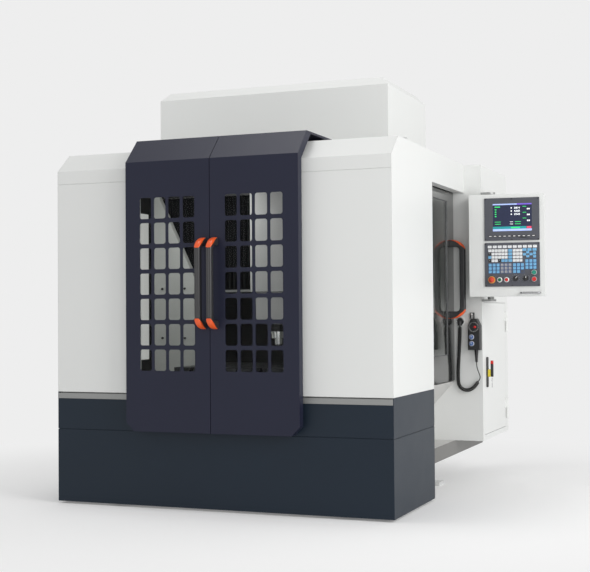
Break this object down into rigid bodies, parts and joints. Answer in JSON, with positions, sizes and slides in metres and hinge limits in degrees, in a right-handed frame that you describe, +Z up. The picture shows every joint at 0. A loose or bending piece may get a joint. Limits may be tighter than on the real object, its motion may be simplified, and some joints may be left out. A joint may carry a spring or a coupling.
{
  "type": "cnc engraving machine",
  "caption": "Enclosed engraving and milling machine with windowed sliding doors, moving table, portal, spindle head, cabinet, swivel control box and hand pendant.",
  "frame": {"origin": "on the floor under the centre of the bed, centre of the four corner anchor holes", "axes": "+X to the right seen from the front, +Y to the rear, +Z up; the doors face -Y"},
  "size_m": [2.2669, 2.18, 2.206],
  "materials": {
    "casting": "painted light grey",
    "steel": "ground",
    "white_sheet": "satin",
    "dark_sheet": "fine texture",
    "grey_sheet": "satin",
    "light_grey_sheet": "satin",
    "aluminium": "anodised",
    "clear_pane": "clear",
    "smoked_pane": "clear",
    "grip_black": "ribbed",
    "black_plastic": "matte",
    "bellows_rubber": "coated cloth",
    "bezel_grey": "satin",
    "screen_glass": "gloss",
    "chrome": "polished",
    "red_plastic": "gloss",
    "green_plastic": "gloss",
    "drive_plastic": "matte",
    "cord_black": "matte",
    "blue_knob": "gloss"
  },
  "bodies": {
    "machine_frame": {"machine_bed": "casting", "levelling_feet": "steel", "portal": "casting", "guide_rails": "steel", "axis_motors": "black_plastic", "saddle_bellows": "bellows_rubber", "lower_skirt": "dark_sheet", "upper_skirt": "dark_sheet", "door_rails": "aluminium", "front_panels": "white_sheet", "roof_cover": "white_sheet", "side_panel_right": "white_sheet", "side_panel_left": "white_sheet", "rear_panel": "white_sheet", "side_chute": "light_grey_sheet", "gantry_cover": "white_sheet", "cabinet_shell": "white_sheet", "drive_rack": "drive_plastic", "swivel_post": "steel", "pendant_body": "black_plastic", "cord_glands": "cord_black", "cord_lead": "cord_black", "cord_coil": "cord_black"},
    "left_door": {"door_left": "dark_sheet", "door_pane_left": "clear_pane", "door_handle_left": "grip_black"},
    "right_door": {"door_right": "dark_sheet", "door_pane_right": "clear_pane", "door_handle_right": "grip_black"},
    "sliding_side_door": {"side_door": "grey_sheet", "side_door_pane": "smoked_pane", "side_door_handle": "grip_black"},
    "control_panel": {"control_box": "white_sheet", "display_unit": "bezel_grey", "display_screen": "screen_glass", "key_panel": "bezel_grey", "box_bow_handle": "chrome"},
    "start": {"start_button": "green_plastic"},
    "stop": {"stop_button": "red_plastic"},
    "power_on": {"power_on_button": "green_plastic"},
    "power_off": {"power_off_button": "red_plastic"},
    "emergency_stop": {"estop_button": "red_plastic"},
    "feed_override": {"feed_knob": "black_plastic"},
    "spindle_override": {"spindle_knob": "black_plastic"},
    "cabinet_leaf": {"cabinet_door": "white_sheet", "lock_plate": "black_plastic"},
    "lock": {"lock_lever": "black_plastic"},
    "table": {"work_table": "steel"},
    "saddle": {"cross_saddle": "casting", "head_motor": "black_plastic"},
    "head": {"head_slide": "casting", "head_cover": "light_grey_sheet", "spindle_motor": "steel"},
    "spindle": {"spindle_nose": "steel"},
    "table_drive_screw": {"table_screw": "steel"},
    "saddle_drive_screw": {"saddle_screw": "steel"},
    "head_drive_screw": {"head_screw": "steel"},
    "hand_wheel": {"pendant_wheel": "black_plastic"},
    "axis_selector": {"pendant_axis_knob": "blue_knob"},
    "step_selector": {"pendant_step_knob": "blue_knob"}
  },
  "joints": [
    {"name": "left_door_slide", "type": "slide", "parent": "machine_frame", "child": "left_door", "axis": [1, 0, 0], "range_m": [-0.42, 0]},
    {"name": "right_door_slide", "type": "slide", "parent": "machine_frame", "child": "right_door", "axis": [1, 0, 0], "range_m": [0, 0.42]},
    {"name": "side_door_slide", "type": "slide", "parent": "machine_frame", "child": "sliding_side_door", "axis": [0, 1, 0], "range_m": [-0.54, 0]},
    {"name": "control_box_swivel", "type": "hinge", "parent": "machine_frame", "child": "control_panel", "pos_m": [1.045, 0.64, 1.33], "axis": [0, 0, 1], "range_deg": [-8, 80]},
    {"name": "cabinet_door_swing", "type": "hinge", "parent": "machine_frame", "child": "cabinet_leaf", "pos_m": [1.009, 1.22, 0.644], "axis": [0, 0, 1], "range_deg": [0, 110]},
    {"name": "lock_turn", "type": "hinge", "parent": "cabinet_leaf", "child": "lock", "pos_m": [1, 0.716, 0.622], "axis": [1, 0, 0], "range_deg": [0, 90]},
    {"name": "table_slide", "type": "slide", "parent": "machine_frame", "child": "table", "axis": [0, 1, 0], "range_m": [-0.18, 0.3]},
    {"name": "saddle_slide", "type": "slide", "parent": "machine_frame", "child": "saddle", "axis": [1, 0, 0], "range_m": [-0.385, 0.185], "deforming": ["saddle_bellows"]},
    {"name": "head_slide_lift", "type": "slide", "parent": "saddle", "child": "head", "axis": [0, 0, 1], "range_m": [-0.1, 0.15]},
    {"name": "spindle_spin", "type": "hinge", "parent": "head", "child": "spindle", "pos_m": [0.1, -0.185, 0.82], "axis": [0, 0, 1], "continuous": true},
    {"name": "table_screw_spin", "type": "hinge", "parent": "machine_frame", "child": "table_drive_screw", "pos_m": [0, 0, 0.592], "axis": [0, 1, 0], "continuous": true},
    {"name": "saddle_screw_spin", "type": "hinge", "parent": "machine_frame", "child": "saddle_drive_screw", "pos_m": [0, 0.07, 1.3575], "axis": [1, 0, 0], "continuous": true},
    {"name": "head_screw_spin", "type": "hinge", "parent": "saddle", "child": "head_drive_screw", "pos_m": [0.1, 0.001, 1.42], "axis": [0, 0, 1], "continuous": true},
    {"name": "start_press", "type": "slide", "parent": "control_panel", "child": "start", "axis": [-0.1045, 0.9945, 0], "range_m": [0, 0.003], "stiffness_N_per_m": 600},
    {"name": "stop_press", "type": "slide", "parent": "control_panel", "child": "stop", "axis": [-0.1045, 0.9945, 0], "range_m": [0, 0.003], "stiffness_N_per_m": 600},
    {"name": "power_on_press", "type": "slide", "parent": "control_panel", "child": "power_on", "axis": [-0.1045, 0.9945, 0], "range_m": [0, 0.003], "stiffness_N_per_m": 600},
    {"name": "power_off_press", "type": "slide", "parent": "control_panel", "child": "power_off", "axis": [-0.1045, 0.9945, 0], "range_m": [0, 0.003], "stiffness_N_per_m": 600},
    {"name": "emergency_stop_press", "type": "slide", "parent": "control_panel", "child": "emergency_stop", "axis": [-0.1045, 0.9945, 0], "range_m": [0, 0.005]},
    {"name": "feed_turn", "type": "hinge", "parent": "control_panel", "child": "feed_override", "pos_m": [1.21253, 0.5098, 1.1455], "axis": [0.1045, -0.9945, 0], "range_deg": [-135, 135]},
    {"name": "spindle_override_turn", "type": "hinge", "parent": "control_panel", "child": "spindle_override", "pos_m": [1.26723, 0.51555, 1.1455], "axis": [0.1045, -0.9945, 0], "range_deg": [-135, 135]},
    {"name": "hand_wheel_spin", "type": "hinge", "parent": "machine_frame", "child": "hand_wheel", "pos_m": [0.962, 0.57, 0.88], "axis": [0, -1, 0], "continuous": true},
    {"name": "axis_selector_turn", "type": "hinge", "parent": "machine_frame", "child": "axis_selector", "pos_m": [0.948, 0.57, 0.824], "axis": [0, -1, 0], "range_deg": [-60, 60]},
    {"name": "step_selector_turn", "type": "hinge", "parent": "machine_frame", "child": "step_selector", "pos_m": [0.948, 0.57, 0.787], "axis": [0, -1, 0], "range_deg": [-45, 45]}
  ],
  "couplings": [
    {"joint": "table_screw_spin", "follows": "table_slide", "rad_per_m": 392.7},
    {"joint": "saddle_screw_spin", "follows": "saddle_slide", "rad_per_m": 392.7},
    {"joint": "head_screw_spin", "follows": "head_slide_lift", "rad_per_m": 628.32}
  ]
}
